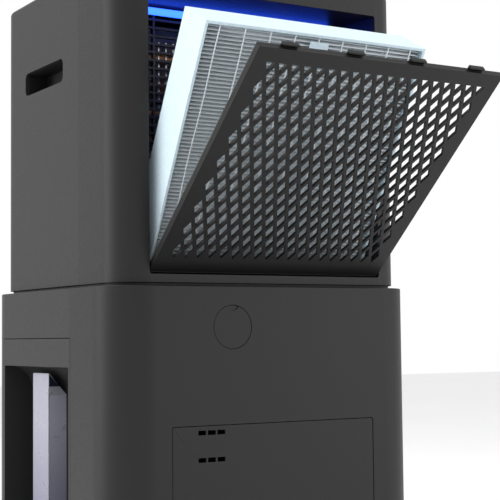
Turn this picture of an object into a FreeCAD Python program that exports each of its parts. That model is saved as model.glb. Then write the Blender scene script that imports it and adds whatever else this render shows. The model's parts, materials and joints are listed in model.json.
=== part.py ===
import FreeCAD, Part
import math
import os
import re

import Sketcher

# Two-tier air treatment tower: a tank base under a filter tower, with a tilt-out rear filter door.
# Frame: +Z up, origin at the bottom centre under the middle foot, front towards -Y, rear towards +Y,
# tank side towards +X. All sizes are millimetres and angles are degrees.

doc = FreeCAD.newDocument("AirTower")
sheet = doc.addObject("Spreadsheet::Sheet", "Dimensions")

DRIVING = [
    ("lower_width", 340, "lower tier, left to right"),
    ("lower_depth", 300, "lower tier, front to rear"),
    ("corner_radius", 43, "vertical corners of the lower tier"),
    ("foot_height", 10, "rubber feet"),
    ("foot_radius", 14, "rubber feet"),
    ("foot_inset", 42, "foot centre in from each side"),
    ("split_height", 348, "top of the lower tier"),
    ("neck_gap", 3, "shadow gap between the tiers"),
    ("upper_height", 297, "upper tier, above the shadow gap"),
    ("upper_inset", 9, "upper tier in from the lower tier"),
    ("neck_inset", 12, "neck plate in from the lower tier"),
    ("deck_way_side", 45, "way through the decks, in from each side"),
    ("deck_way_front", 52, "way through the decks, in from the front"),
    ("deck_way_rear", 8, "way through the decks, behind the seam"),
    ("deck_thickness", 3, "upper floor"),
    ("pan_thickness", 6, "base pan"),
    ("top_radius", 4, "rounding round the top"),
    ("rim_radius", 1.2, "rounding round the lower tier's top"),
    ("shell_wall", 3, "shell wall"),
    ("fit_gap", 0.6, "gap round fixed and sliding panels"),
    ("running_gap", 0.05, "radial gap round a pin"),
    ("rear_shell_depth", 91, "rear shell, from the lower tier's rear face"),
    ("opening_half_width", 128.5, "rear opening"),
    ("opening_sill", 7.5, "sill above the upper tier's bottom"),
    ("opening_height", 265, "rear opening"),
    ("bay_depth", 72, "filter bay, behind the rear wall"),
    ("bay_wall", 3, "filter bay wall"),
    ("bay_lip", 4, "grille at the inner end of the bay"),
    ("corner_relief", 0.4, "bay clear of the rear wall's rounded corners"),
    ("grille_rim", 7, "inner grille"),
    ("grille_bar", 2.4, "inner grille"),
    ("grille_pitch", 8, "inner grille slats"),
    ("lamp_radius", 3.5, "lamp tube"),
    ("lamp_drop", 6, "lamp below the bay's ceiling"),
    ("lamp_setback", 6, "lamp behind the grille"),
    ("holder_length", 11.5, "lamp holders"),
    ("holder_half", 5, "lamp holders, half their depth"),
    ("door_gap", 1, "gap beside the door"),
    ("door_thickness", 12, "round hinge rail along the door's foot"),
    ("door_depth", 6.5, "door frame, face to inner edge"),
    ("door_face", 3, "perforated face"),
    ("door_flange", 2.5, "door side flanges"),
    ("door_sill_gap", 0.5, "under the door"),
    ("door_head_gap", 4.5, "above the door"),
    ("door_border", 14, "plain border round the perforation"),
    ("door_tilt", 48.5, "door open angle"),
    ("door_pin_radius", 2, "hinge pins"),
    ("hole_pitch", 12.25, "diamonds, across"),
    ("hole_step", 13.3, "diamonds, row to row"),
    ("strand", 3.2, "strand between diamonds"),
    ("hook_width", 16, "door hooks"),
    ("hook_height", 3.5, "door hooks, above the door"),
    ("hook_spacing", 65, "door hooks"),
    ("hook_stem", 2.2, "door hooks, thickness"),
    ("hook_lip", 1.6, "door hooks, bent end"),
    ("filter_width", 240, "filter"),
    ("filter_height", 240, "filter"),
    ("filter_thickness", 43, "filter"),
    ("filter_board", 3, "filter frame board"),
    ("filter_tilt", 28.4, "filter lean when the door is open"),
    ("filter_setback", 25, "filter pin behind the rear face"),
    ("filter_rise", 19, "filter pin above the split"),
    ("filter_pin_inset", 5, "filter pin in from the frame's corner"),
    ("pleat_pitch", 3.6, "pleats"),
    ("pleat_paper", 0.5, "pleat paper"),
    ("pleat_recess", 2, "pleats behind the frame's edges"),
    ("bead_pitch", 26, "glue beads"),
    ("bead_width", 1.6, "glue beads"),
    ("bead_height", 1.2, "glue beads"),
    ("tab_width", 20, "pull tab"),
    ("tab_height", 13, "pull tab"),
    ("tab_thickness", 1.2, "pull tab"),
    ("slot_length", 95, "hand slot"),
    ("slot_height", 23, "hand slot"),
    ("slot_centre_y", -25, "hand slot"),
    ("slot_rise", 214, "hand slot centre above the split"),
    ("slot_depth", 22, "hand slot cup"),
    ("slot_radius", 6, "hand slot corners"),
    ("cup_wall", 2, "hand slot cup"),
    ("drawer_front_inset", 40.2, "front edge of the tank drawer behind the front face"),
    ("drawer_drop", 47, "drawer top below the split"),
    ("drawer_base", 30, "drawer bottom above the floor"),
    ("drawer_block", 34, "drawer front, thickness"),
    ("grip_drop", 74, "grip recess top below the split"),
    ("grip_depth", 31, "grip recess"),
    ("grip_round", 28, "curved ceiling of the grip recess"),
    ("grip_border", 3.5, "border beside the grip recess"),
    ("grip_floor", 18, "border under the grip recess"),
    ("column_width", 39.5, "sight column, front to rear"),
    ("column_rear_y", -20.4, "sight column"),
    ("column_setback", 12, "sight column behind the drawer face"),
    ("column_drop", 81, "sight column top below the split"),
    ("column_gap", 0.4, "round the sight column"),
    ("column_floor", 2, "sight column above the recess floor"),
    ("column_bevel_in", 20.8, "sight column's sloping top, into the drawer"),
    ("column_bevel_drop", 25, "sight column's sloping top, downwards"),
    ("tank_length", 195, "tank"),
    ("tank_wall", 2.5, "tank"),
    ("tank_headroom", 12, "tank top below the drawer top"),
    ("tank_inset", 4, "tank in from the drawer's edges"),
    ("lid_thickness", 2.5, "tank lid"),
    ("inlet_radius", 16, "tank lid inlet"),
    ("inlet_reach", 100, "tank lid inlet, from the tank's far end"),
    ("inlet_y", -30, "tank lid inlet and float"),
    ("drip_radius", 8, "drip hole over the tank"),
    ("float_reach", 34, "float, from the tank's far end"),
    ("float_radius", 14, "float bulb"),
    ("float_height", 18, "float bulb"),
    ("float_drop", 44, "float bulb below the lid"),
    ("float_stem", 3, "float stem radius"),
    ("drain_x", 47.4, "drain port"),
    ("drain_drop", 37.9, "drain port below the split"),
    ("drain_radius", 20, "drain cover"),
    ("drain_gap", 0.5, "round the drain cover"),
    ("drain_cup_depth", 24, "cup behind the drain cover"),
    ("drain_cup_wall", 3, "cup behind the drain cover"),
    ("drain_cover_thickness", 2.6, "drain cover"),
    ("drain_cover_sink", 0.2, "drain cover below the rear face"),
    ("drain_plug_length", 14, "drain plug"),
    ("drain_nick", 7, "finger nick in the drain cover, radius"),
    ("spout_length", 34, "drain spout"),
    ("spout_reach", 37, "drain spout, inner end behind the wall"),
    ("spout_radius", 9, "drain spout, outside"),
    ("spout_bore", 6, "drain plug"),
    ("panel_half_width", 111, "service panel"),
    ("panel_drop", 127.5, "service panel top below the split"),
    ("panel_height", 150, "service panel"),
    ("panel_thickness", 2.6, "service panel"),
    ("vent_length", 8, "small slots"),
    ("vent_height", 4, "small slots"),
    ("vent_pitch", 10, "small slots, across"),
    ("vent_x", 70.6, "middle small slot"),
    ("vent_drop", 133.5, "first row of slots below the split"),
    ("vent_row", 24.6, "rows of slots"),
    ("gland_x", -128, "mains cord gland"),
    ("gland_z", 44, "mains cord gland"),
    ("gland_radius", 9, "mains cord gland, outside"),
    ("gland_bore", 3.8, "mains cord gland, bore"),
    ("gland_neck", 7, "mains cord gland, neck radius"),
    ("gland_inside", 13, "mains cord gland, inside the face"),
    ("gland_outside", 2, "mains cord gland, outside the face"),
    ("outlet_half_width", 110, "top outlet"),
    ("outlet_gap", 21, "top outlet behind the control panel"),
    ("outlet_depth", 70, "top outlet"),
    ("flap_thickness", 3, "outlet flap"),
    ("button_radius", 6, "buttons"),
    ("button_height", 6.4, "buttons"),
    ("button_gap", 0.3, "round the buttons"),
    ("button_near", 45, "inner buttons from the middle"),
    ("button_far", 75, "outer buttons from the middle"),
    ("console_half_width", 95, "control panel"),
    ("console_front", 20, "control panel behind the upper tier's front"),
    ("console_depth", 38, "control panel"),
    ("console_thickness", 3, "control panel"),
    ("console_corner", 1.5, "corners of the control panel's hole"),
    ("lens_half_width", 24, "display lens"),
    ("lens_half_depth", 10, "display lens"),
    ("lens_gap", 0.2, "round the display lens"),
    ("board_drop", 10, "circuit board below the control panel"),
    ("fan_radius", 80, "fan wheel"),
    ("fan_front", 44, "fan scroll behind the upper tier's front"),
    ("fan_coil_gap", 30, "between the fan scroll and the front heat exchanger"),
    ("scroll_wall", 3, "fan scroll"),
    ("scroll_room", 26, "fan scroll deeper than the wheel"),
    ("scroll_clear", 18, "fan scroll round the wheel"),
    ("wheel_setback", 11, "fan wheel behind the scroll's front"),
    ("hub_length", 24, "fan hub"),
    ("hub_radius", 12, "fan hub"),
    ("blade_length", 11, "fan blades"),
    ("motor_radius", 33, "fan motor"),
    ("motor_length", 22, "fan motor"),
    ("motor_lead", 16, "fan motor ahead of the scroll"),
    ("shaft_length", 62, "fan shaft"),
    ("shaft_lead", 14, "fan shaft ahead of the scroll"),
    ("fan_rise", 118, "fan axis above the split"),
    ("shaft_radius", 4, "fan shaft"),
    ("coil_half_width", 112, "heat exchangers"),
    ("coil_height", 220, "heat exchangers"),
    ("coil_depth", 20, "heat exchangers"),
    ("coil_tube", 4, "heat exchanger tubes"),
    ("fin_pitch", 8, "heat exchanger fins"),
    ("fin_thickness", 0.8, "heat exchanger fins"),
    ("evaporator_setback", 2, "rear heat exchanger, from the grille"),
    ("condenser_setback", 27, "front heat exchanger, from the grille"),
    ("tray_margin", 8, "drip tray past the coils"),
    ("tray_wall", 2, "drip tray"),
    ("compressor_radius", 42, "compressor"),
    ("compressor_height", 150, "compressor"),
    ("compressor_gap", 8, "compressor from the side wall"),
    ("mount_height", 14, "compressor mounts"),
    ("mount_radius", 9, "compressor mounts"),
    ("pipe_radius", 3.2, "refrigerant pipes"),
    ("pipe_bend", 14, "refrigerant pipes"),
    ("pipe_clear", 20, "rising pipes ahead of the front heat exchanger"),
]

for row, (alias, number, note) in enumerate(DRIVING, start=1):
    sheet.set("A%d" % row, note)
    sheet.set("B%d" % row, str(number))
    sheet.setAlias("B%d" % row, alias)
doc.recompute()

ALIASES = {alias for alias, number, note in DRIVING}

# Places that several pieces share, each worked out from the driving sizes.
PLACES = {
    "half_width": "lower_width / 2",
    "half_depth": "lower_depth / 2",
    "seam_y": "half_depth - rear_shell_depth",
    "upper_half_width": "half_width - upper_inset",
    "upper_half_depth": "half_depth - upper_inset",
    "upper_base_z": "split_height + neck_gap",
    "top_z": "upper_base_z + upper_height",
    "sill_z": "upper_base_z + opening_sill",
    "head_z": "sill_z + opening_height",
    "rear_inner_y": "upper_half_depth - shell_wall",
    "bay_inner_y": "rear_inner_y - bay_depth",
    "door_half": "opening_half_width - door_gap",
    "door_round": "door_thickness / 2",
    "door_y": "upper_half_depth - door_round",
    "door_z": "sill_z + door_sill_gap + door_round",
    "door_top": "head_z - door_z - door_head_gap",
    "filter_y": "upper_half_depth - filter_setback",
    "filter_z": "split_height + filter_rise",
    "filter_half": "filter_width / 2",
    "filter_front": "filter_pin_inset",
    "filter_back": "filter_pin_inset - filter_thickness",
    "filter_low": "0 - filter_pin_inset",
    "filter_high": "filter_height - filter_pin_inset",
    "slot_z": "split_height + slot_rise",
    "drawer_top_z": "split_height - drawer_drop",
    "drawer_rear_y": "seam_y - fit_gap",
    "block_x": "half_width - drawer_block",
    "tank_front_y": "drawer_front_y + tank_inset",
    "tank_rear_y": "drawer_rear_y - tank_inset",
    "tank_low_x": "block_x - tank_length",
    "tank_low_z": "drawer_base + 5",
    "tank_top_z": "drawer_top_z - tank_headroom",
    "drain_z": "split_height - drain_drop",
    "panel_top_z": "split_height - panel_drop",
    "fan_z": "upper_base_z + fan_rise",
    "coil_low_z": "sill_z + 12",
    "deck_z": "split_height - shell_wall",
    "deck_way_half": "half_width - deck_way_side",
    "drawer_front_y": "drawer_front_inset - half_depth",
    "column_top_z": "split_height - column_drop",
    "coil_front_y": "bay_inner_y - bay_lip - condenser_setback - coil_depth",
    "fan_front_y": "fan_front - upper_half_depth",
    "scroll_depth": "coil_front_y - fan_coil_gap - fan_front_y",
    "fan_width": "scroll_depth - scroll_room",
    "console_front_y": "console_front - upper_half_depth",
    "console_rear_y": "console_front_y + console_depth",
    "button_y": "console_front_y + console_depth / 2",
    "outlet_front_y": "console_rear_y + outlet_gap",
    "outlet_rear_y": "outlet_front_y + outlet_depth",
    "pan_z": "foot_height + pan_thickness",
}


def expand(text):
    """Replace each named place by its own formula, then tie each alias to the sheet."""
    names = set(re.findall(r"[a-z_]+[a-z]", text)) & set(PLACES)
    while names:
        for name in names:
            text = re.sub(r"\b%s\b" % name, "(%s)" % PLACES[name], text)
        names = set(re.findall(r"[a-z_]+[a-z]", text)) & set(PLACES)
    return re.sub(r"\b(%s)\b" % "|".join(sorted(ALIASES)), r"Dimensions.\1", text)


def size(text):
    """The number that a formula of aliases gives, for the shapes made in code."""
    found = sheet.evalExpression(expand(str(text)))
    return float(getattr(found, "Value", found))


def bind(thing, **formulas):
    for name, text in formulas.items():
        thing.setExpression(name.replace("__", "."), expand(str(text)))


def place(thing, across="0", along="0", height="0"):
    bind(thing, Placement__Base__x=across, Placement__Base__y=along, Placement__Base__z=height)
    return thing


def box(label, xs, ys, zs):
    """A block from its low and high formulas on each axis."""
    block = doc.addObject("Part::Box", label)
    block.Label = label
    bind(block, Length="(%s) - (%s)" % (xs[1], xs[0]), Width="(%s) - (%s)" % (ys[1], ys[0]))
    bind(block, Height="(%s) - (%s)" % (zs[1], zs[0]))
    return place(block, xs[0], ys[0], zs[0])


TURNS = {
    "X": FreeCAD.Rotation(FreeCAD.Vector(0, 1, 0), 90),
    "Y": FreeCAD.Rotation(FreeCAD.Vector(1, 0, 0), -90),
    "Z": FreeCAD.Rotation(),
}


def rod(label, axis, radius, length, across, along, height):
    """A round bar that starts at the given point and runs along +axis."""
    bar = doc.addObject("Part::Cylinder", label)
    bar.Label = label
    bar.Placement.Rotation = TURNS[axis]
    bind(bar, Radius=radius, Height=length)
    return place(bar, across, along, height)


def fuse(label, pieces):
    joined = doc.addObject("Part::MultiFuse", label)
    joined.Label = label
    joined.Shapes = pieces
    joined.Refine = True
    return joined


def group(label, pieces):
    together = doc.addObject("Part::Compound", label)
    together.Label = label
    together.Links = pieces
    return together


def cut(label, base, tools):
    result = doc.addObject("Part::Cut", label)
    result.Label = label
    result.Base = base
    result.Tool = tools[0] if len(tools) == 1 else fuse(label + "_tools", tools)
    return result


def coded(label, shape):
    """A node whose outline repeats too often for sketches: its shape is made in code."""
    feature = doc.addObject("Part::Feature", label)
    feature.Label = label
    feature.Shape = shape
    return feature


def lean(thing, along, height, angle):
    """Turn a piece modelled upright on its pin axis outwards, and put the axis in place."""
    tilt = "create(<<rotation>>; create(<<vector>>; 1; 0; 0); 0 - (%s))" % angle
    base = "create(<<vector>>; 0; %s; %s)" % (along, height)
    thing.setExpression("Placement", expand("create(<<placement>>; %s; %s)" % (base, tilt)))
    return thing


def new_body(label):
    body = doc.addObject("PartDesign::Body", label)
    body.Label = label
    return body


def sketch_on(body, name, role, offset="0"):
    sketch = body.newObject("Sketcher::SketchObject", name)
    plane = [item for item in body.Origin.OriginFeatures if item.Role == role][0]
    sketch.AttachmentSupport = [(plane, "")]
    sketch.MapMode = "FlatFace"
    sketch.setExpression("AttachmentOffset.Base.z", expand(offset))
    return sketch


def outline(sketch, left, right, low, high, radius=None):
    """A rectangle from four formulas, its corners rounded where a radius is given."""
    spans = [size(text) for text in (left, right, low, high)]
    west, east, south, north = spans
    turn = size(radius) if radius else 0.0
    ends = [
        ((west + turn, south), (east - turn, south)),
        ((east, south + turn), (east, north - turn)),
        ((east - turn, north), (west + turn, north)),
        ((west, north - turn), (west, south + turn)),
    ]
    first = sketch.GeometryCount
    for start, stop in ends:
        sketch.addGeometry(Part.LineSegment(FreeCAD.Vector(*start, 0), FreeCAD.Vector(*stop, 0)), False)
    if radius:
        centres = [(east - turn, south + turn), (east - turn, north - turn)]
        centres += [(west + turn, north - turn), (west + turn, south + turn)]
        for number, (mid_x, mid_y) in enumerate(centres):
            ring = Part.Circle(FreeCAD.Vector(mid_x, mid_y, 0), FreeCAD.Vector(0, 0, 1), turn)
            start = math.radians(270 + 90 * number)
            sketch.addGeometry(Part.ArcOfCircle(ring, start, start + math.pi / 2), False)
        for number in range(4):
            after = first + (number + 1) % 4
            sketch.addConstraint(Sketcher.Constraint("Tangent", first + number, 2, first + 4 + number, 1))
            sketch.addConstraint(Sketcher.Constraint("Tangent", first + 4 + number, 2, after, 1))
        for number in range(1, 4):
            sketch.addConstraint(Sketcher.Constraint("Equal", first + 4, first + 4 + number))
        index = sketch.addConstraint(Sketcher.Constraint("Radius", first + 4, turn))
        sketch.setExpression("Constraints[%d]" % index, expand(radius))
    else:
        for number in range(4):
            after = first + (number + 1) % 4
            sketch.addConstraint(Sketcher.Constraint("Coincident", first + number, 2, after, 1))
    for number, kind in ((0, "Horizontal"), (1, "Vertical"), (2, "Horizontal"), (3, "Vertical")):
        sketch.addConstraint(Sketcher.Constraint(kind, first + number))
    bounds = (("DistanceX", 3, left), ("DistanceX", 1, right), ("DistanceY", 0, low), ("DistanceY", 2, high))
    for kind, line, text in bounds:
        index = sketch.addConstraint(Sketcher.Constraint(kind, -1, 1, first + line, 1, size(text)))
        sketch.setExpression("Constraints[%d]" % index, expand(text))
    return sketch


def circle(sketch, across, along, radius):
    """A circle from three formulas."""
    centre = FreeCAD.Vector(size(across), size(along), 0)
    first = sketch.addGeometry(Part.Circle(centre, FreeCAD.Vector(0, 0, 1), size(radius)), False)
    for kind, text in (("DistanceX", across), ("DistanceY", along)):
        index = sketch.addConstraint(Sketcher.Constraint(kind, -1, 1, first, 3, size(text)))
        sketch.setExpression("Constraints[%d]" % index, expand(text))
    index = sketch.addConstraint(Sketcher.Constraint("Radius", first, size(radius)))
    sketch.setExpression("Constraints[%d]" % index, expand(radius))
    return sketch


def pad(body, sketch, length):
    feature = body.newObject("PartDesign::Pad", sketch.Name + "_pad")
    feature.Profile = sketch
    feature.setExpression("Length", expand(length))
    sketch.Visibility = False
    doc.recompute()
    return feature


def pocket(body, sketch, length):
    """Cut the sketch's outline by the given length, half to each side of its plane."""
    before = body.Shape.Volume
    feature = body.newObject("PartDesign::Pocket", sketch.Name + "_pocket")
    feature.Profile = sketch
    feature.Midplane = True
    feature.setExpression("Length", expand(length))
    sketch.Visibility = False
    doc.recompute()
    if body.Shape.Volume >= before:
        raise RuntimeError("%s removed nothing" % sketch.Name)
    return feature


def round_edges(body, name, radius, wanted):
    """Fillet the edges of the body's tip that a test picks out."""
    tip = body.Tip
    names = ["Edge%d" % (number + 1) for number, edge in enumerate(tip.Shape.Edges) if wanted(edge)]
    feature = body.newObject("PartDesign::Fillet", name)
    feature.Base = (tip, names)
    feature.setExpression("Radius", expand(radius))
    doc.recompute()
    return feature


def level_at(text):
    """A test for edges that lie wholly at one height."""
    height = size(text)
    return lambda edge: edge.BoundBox.ZLength < 0.01 and abs(edge.BoundBox.ZMin - height) < 0.01


def tier(label, inset, low, high, edge_radius):
    """One tier's hollow shell: rounded block, rounded top edge, hollow from below."""
    body = new_body(label)
    plan = sketch_on(body, label + "_plan", "XY_Plane", low)
    reach = ["0 - half_width + %s" % inset, "half_width - %s" % inset]
    reach += ["0 - half_depth + %s" % inset, "half_depth - %s" % inset]
    outline(plan, *reach, "corner_radius - %s" % inset)
    pad(body, plan, "(%s) - (%s)" % (high, low))
    round_edges(body, label + "_rim", edge_radius, level_at(high))
    hollow = sketch_on(body, label + "_hollow", "XY_Plane", low)
    inner = [text + sign + "shell_wall" for text, sign in zip(reach, (" + ", " - ", " + ", " - "))]
    outline(hollow, *inner, "corner_radius - %s - shell_wall" % inset)
    pocket(body, hollow, "2 * ((%s) - (%s) - shell_wall)" % (high, low))
    return body


def keep_part(body, front):
    """Cut the shell at its vertical seam and keep the front or the rear part."""
    plan = sketch_on(body, body.Name + "_seam", "XY_Plane", "0")
    if front:
        outline(plan, "0 - lower_width", "lower_width", "seam_y", "lower_depth")
    else:
        outline(plan, "0 - lower_width", "lower_width", "0 - lower_depth", "seam_y")
    pocket(body, plan, "4 * (split_height + upper_height)")


def lower_front_shell():
    body = tier("lower_front_shell", "0", "foot_height", "split_height", "rim_radius")
    keep_part(body, True)
    deck = sketch_on(body, "front_deck_way", "XY_Plane", "deck_z")
    outline(deck, "0 - deck_way_half", "deck_way_half", "deck_way_front - half_depth", "seam_y + 5")
    pocket(body, deck, "4 * shell_wall")
    window = sketch_on(body, "drawer_window", "YZ_Plane", "half_width")
    edges = ["drawer_front_y - fit_gap", "seam_y + 5", "drawer_base - fit_gap", "drawer_top_z + fit_gap"]
    outline(window, *edges)
    pocket(body, window, "4 * shell_wall")


def lower_rear_shell():
    body = tier("lower_rear_shell", "0", "foot_height", "split_height", "rim_radius")
    keep_part(body, False)
    deck = sketch_on(body, "rear_deck_way", "XY_Plane", "deck_z")
    outline(deck, "0 - deck_way_half", "deck_way_half", "seam_y - 5", "seam_y + deck_way_rear")
    pocket(body, deck, "4 * shell_wall")
    drain = sketch_on(body, "drain_hole", "XZ_Plane", "0 - half_depth")
    circle(drain, "drain_x", "drain_z", "drain_radius + drain_gap")
    pocket(body, drain, "4 * shell_wall")
    panel = sketch_on(body, "panel_hole", "XZ_Plane", "0 - half_depth")
    across = "panel_half_width + fit_gap"
    low = "panel_top_z - panel_height - fit_gap"
    outline(panel, "0 - (%s)" % across, across, low, "panel_top_z + fit_gap", "2")
    pocket(body, panel, "4 * shell_wall")
    gland = sketch_on(body, "gland_hole", "XZ_Plane", "0 - half_depth")
    circle(gland, "gland_x", "gland_z", "gland_neck")
    pocket(body, gland, "4 * shell_wall")


def service_panel():
    body = new_body("service_panel")
    plate = sketch_on(body, "panel_plate", "XZ_Plane", "0 - half_depth + 0.2")
    low = "panel_top_z - panel_height"
    outline(plate, "0 - panel_half_width", "panel_half_width", low, "panel_top_z", "1.5")
    pad(body, plate, "panel_thickness")
    for row in range(2):
        vents = sketch_on(body, "vent_row_%d" % row, "XZ_Plane", "0 - half_depth")
        for step in (-1, 0, 1):
            mid = "vent_x + %d * vent_pitch" % step
            height = "split_height - vent_drop - %d * vent_row" % row
            sides = ["%s - vent_length / 2" % mid, "%s + vent_length / 2" % mid]
            outline(vents, *sides, "%s - vent_height / 2" % height, "%s + vent_height / 2" % height)
        pocket(body, vents, "4 * panel_thickness")


def upper_front_shell():
    body = tier("upper_front_shell", "upper_inset", "upper_base_z", "top_z", "top_radius")
    keep_part(body, True)
    for side, where in (("tank", "upper_half_width"), ("far", "0 - upper_half_width")):
        grip = sketch_on(body, "hand_slot_" + side, "YZ_Plane", where)
        along = ["slot_centre_y - slot_length / 2", "slot_centre_y + slot_length / 2"]
        outline(grip, *along, "slot_z - slot_height / 2", "slot_z + slot_height / 2", "slot_radius")
        pocket(body, grip, "4 * shell_wall")
    outlet = sketch_on(body, "outlet_hole", "XY_Plane", "top_z")
    sides = ["0 - outlet_half_width - fit_gap", "outlet_half_width + fit_gap"]
    outline(outlet, *sides, "outlet_front_y - fit_gap", "outlet_rear_y + fit_gap")
    pocket(body, outlet, "4 * shell_wall")
    console = sketch_on(body, "console_hole", "XY_Plane", "top_z")
    sides = ["0 - console_half_width - fit_gap", "console_half_width + fit_gap"]
    outline(console, *sides, "console_front_y - fit_gap", "console_rear_y + fit_gap", "console_corner")
    pocket(body, console, "4 * shell_wall")


def upper_rear_shell():
    body = tier("upper_rear_shell", "upper_inset", "upper_base_z", "top_z", "top_radius")
    keep_part(body, False)
    door = sketch_on(body, "door_opening", "XZ_Plane", "0 - upper_half_depth")
    outline(door, "0 - opening_half_width", "opening_half_width", "sill_z", "head_z", "2.5")
    pocket(body, door, "4 * shell_wall")


def plate(label, inset, low, high, way):
    """A flat plate with the tiers' rounded outline and a middle way for air and pipes."""
    body = new_body(label)
    plan = sketch_on(body, label + "_plan", "XY_Plane", low)
    sides = ["0 - half_width + %s" % inset, "half_width - %s" % inset]
    sides += ["0 - half_depth + %s" % inset, "half_depth - %s" % inset]
    outline(plan, *sides, "corner_radius - %s" % inset)
    pad(body, plan, "(%s) - (%s)" % (high, low))
    if way:
        middle = sketch_on(body, label + "_way", "XY_Plane", low)
        along = ["deck_way_front - half_depth", "seam_y + deck_way_rear"]
        outline(middle, "0 - deck_way_half", "deck_way_half", *along)
        pocket(body, middle, "4 * ((%s) - (%s))" % (high, low))


def feet():
    """A rubber foot near each corner and one under the middle."""
    pads = [rod("foot_middle", "Z", "foot_radius", "foot_height", "0", "0", "0")]
    for depth_name, along in (("front", "foot_inset - half_depth"), ("rear", "half_depth - foot_inset")):
        for side_name, across in (("left", "foot_inset - half_width"), ("right", "half_width - foot_inset")):
            name = "foot_%s_%s" % (depth_name, side_name)
            pads.append(rod(name, "Z", "foot_radius", "foot_height", across, along, "0"))
    group("feet", pads)


def drain_port():
    """Cup behind the drain cover, the hose spout in it, and the cover with its plug."""
    wall = "half_depth - shell_wall"
    depth = "drain_cup_depth"
    back = "%s - %s" % (wall, depth)
    inside = "drain_radius + drain_gap"
    outer = rod("cup_outer", "Y", inside + " + drain_cup_wall", depth, "drain_x", back, "drain_z")
    inner = rod("cup_inner", "Y", inside, depth, "drain_x", back + " + drain_cup_wall", "drain_z")
    through = ("2 * " + depth, "drain_x", back + " - drain_cup_wall", "drain_z")
    way = rod("cup_way", "Y", "spout_radius", *through)
    cut("drain_cup", outer, [inner, way])
    back = wall + " - spout_reach"
    pipe = rod("spout_outer", "Y", "spout_radius", "spout_length", "drain_x", back, "drain_z")
    through = ("spout_length + 2", "drain_x", back + " - 1", "drain_z")
    bore = rod("spout_inner", "Y", "spout_bore + running_gap", *through)
    cut("drain_spout", pipe, [bore])
    face = "half_depth - drain_cover_sink"
    back = face + " - drain_cover_thickness"
    disc = rod("cover_disc", "Y", "drain_radius", "drain_cover_thickness", "drain_x", back, "drain_z")
    length = "drain_plug_length"
    stem = rod("cover_plug", "Y", "spout_bore", length, "drain_x", "%s - %s" % (back, length), "drain_z")
    high = "drain_z + drain_radius + 2"
    nick = rod("cover_nick", "Y", "drain_nick", "drain_nick", "drain_x", face + " - 1", high)
    cut("drain_cover", fuse("cover_body", [disc, stem]), [nick])


def small_rear_parts():
    for number, across in enumerate(("0 - panel_half_width + 9", "panel_half_width - 9")):
        low = "panel_top_z - panel_height + 10"
        rod("service_screw_%d" % number, "Y", "3.4", "1.4", across, "half_depth - 0.2", low)
    group("service_screws", [doc.getObject("service_screw_%d" % number) for number in range(2)])
    flange = rod("gland_flange", "Y", "gland_radius", "gland_outside", "gland_x", "half_depth", "gland_z")
    back = "half_depth - gland_inside"
    barrel = rod("gland_barrel", "Y", "gland_neck", "gland_inside + 1", "gland_x", back, "gland_z")
    length = "gland_inside + gland_outside + 2"
    bore = rod("gland_hole_tool", "Y", "gland_bore", length, "gland_x", back + " - 1", "gland_z")
    cut("cord_gland", fuse("gland_body", [flange, barrel]), [bore])
    low = "half_depth - shell_wall - 70"
    box("control_box", ("20", "half_width - 20"), (low, low + " + 55"), ("pan_z", "pan_z + 114"))


def filter_bay():
    """The sleeve behind the rear opening; the door's and the filter's pins turn in its sides."""
    side = "opening_half_width + bay_wall"
    across = ("0 - (%s)" % side, side)
    span = ("sill_z - bay_wall", "head_z + bay_wall")
    outer = box("bay_outer", across, ("bay_inner_y", "rear_inner_y"), span)
    inside = ("0 - opening_half_width", "opening_half_width")
    hollow = box("bay_hollow", inside, ("bay_inner_y - 1", "rear_inner_y + 1"), ("sill_z", "head_z"))
    hinge = ("X", "door_pin_radius + running_gap", "2 * (%s) + 2" % side, "0 - (%s) - 1" % side)
    door_way = rod("bay_door_pin_way", *hinge, "door_y", "door_z")
    filter_way = rod("bay_filter_pin_way", *hinge, "filter_y", "filter_z")
    start = "opening_half_width - bay_wall"
    relief = ("rear_inner_y - corner_relief", "rear_inner_y + 1")
    left = box("bay_relief_left", ("0 - (%s) - 1" % side, "0 - (%s)" % start), relief, span)
    right = box("bay_relief_right", (start, side + " + 1"), relief, span)
    cut("filter_bay", outer, [hollow, door_way, filter_way, left, right])


def grid(half_width, low, high, columns, pitch, bar, rim):
    """Flat grille face in the XZ plane: a rim, upright bars and close level slats."""
    cell = (2 * half_width - 2 * rim - (columns - 1) * bar) / columns
    rows = int((high - low - 2 * rim + bar) // pitch)
    first = (low + high - rows * pitch + bar) / 2
    holes = []
    for row in range(rows):
        for column in range(columns):
            west = -half_width + rim + column * (cell + bar)
            south = first + row * pitch
            corners = [(west, south), (west + cell, south), (west + cell, south + pitch - bar)]
            corners += [(west, south + pitch - bar), (west, south)]
            holes.append(Part.makePolygon([FreeCAD.Vector(x, 0, z) for x, z in corners]))
    edge = [(-half_width, low), (half_width, low), (half_width, high), (-half_width, high)]
    edge.append(edge[0])
    rim_wire = Part.makePolygon([FreeCAD.Vector(x, 0, z) for x, z in edge])
    return face_with_holes(rim_wire, holes)


def face_with_holes(rim_wire, holes):
    return Part.makeFace([rim_wire] + holes, "Part::FaceMakerBullseye")


def inner_grille():
    columns = 6
    span = (size("sill_z - bay_wall"), size("head_z + bay_wall"))
    bars = (size("grille_pitch"), size("grille_bar"), size("grille_rim"))
    face = grid(size("opening_half_width + bay_wall"), *span, columns, *bars)
    plate_shape = face.extrude(FreeCAD.Vector(0, size("bay_lip"), 0))
    place(coded("inner_grille", plate_shape), "0", "bay_inner_y - bay_lip", "0")


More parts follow.
